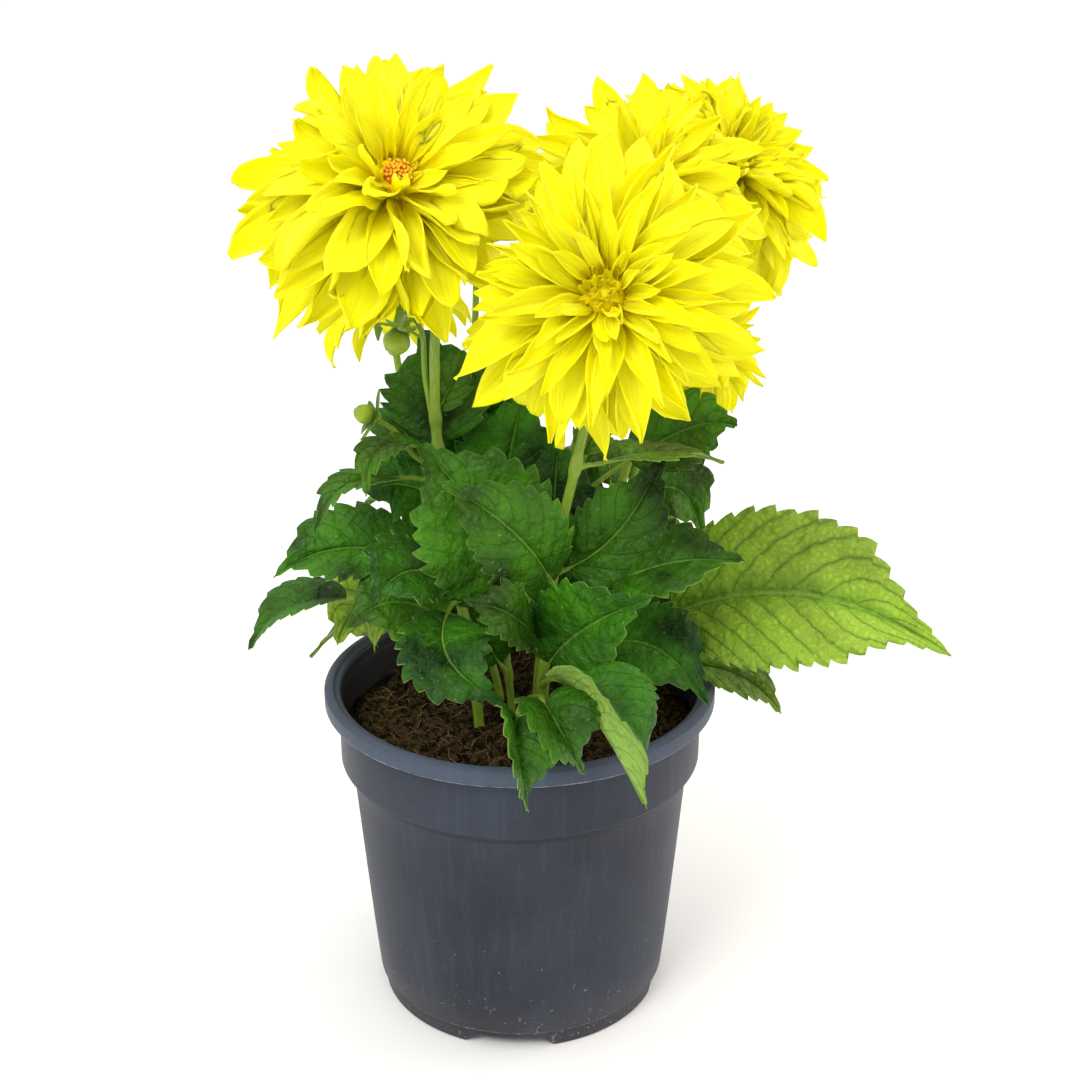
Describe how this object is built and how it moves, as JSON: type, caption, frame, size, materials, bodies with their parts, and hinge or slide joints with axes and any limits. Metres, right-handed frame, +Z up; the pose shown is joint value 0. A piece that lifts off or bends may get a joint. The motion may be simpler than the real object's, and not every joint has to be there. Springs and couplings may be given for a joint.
{
  "type": "potted dahlia",
  "caption": "Double yellow dahlia in bloom, with broad toothed leaves and closed buds, growing from compost in a round tapered plastic nursery pot.",
  "frame": {"origin": "centre of the pot's base, on the surface that it stands on", "axes": "+Z up, -Y to the front, where the largest low bloom faces; +X to the right seen from the front"},
  "size_m": [0.3333, 0.308, 0.4662],
  "materials": {
    "pot": "matt moulded polypropylene, faintly scuffed",
    "soil": "loose dark fibrous compost, fully matt",
    "leaf": "living leaf, soft satin with a waxy bloom",
    "petal": "soft matt petal with fine ribs",
    "disc": "matt florets",
    "bud": "smooth satin sepals"
  },
  "bodies": {
    "root": {"pot": "pot", "soil": "soil", "stem_front": "leaf", "stem_left": "leaf", "stem_back": "leaf", "stem_right": "leaf", "stem_low": "leaf", "stem_rear": "leaf", "stem_middle": "leaf", "bloom_front": "petal", "bloom_left": "petal", "bloom_back": "petal", "bloom_right": "petal", "bloom_low": "petal", "bloom_rear": "petal", "disc_left": "disc", "disc_back": "disc", "bud_nodding": "bud", "bud_small": "bud", "bud_closed": "bud"}
  },
  "joints": []
}
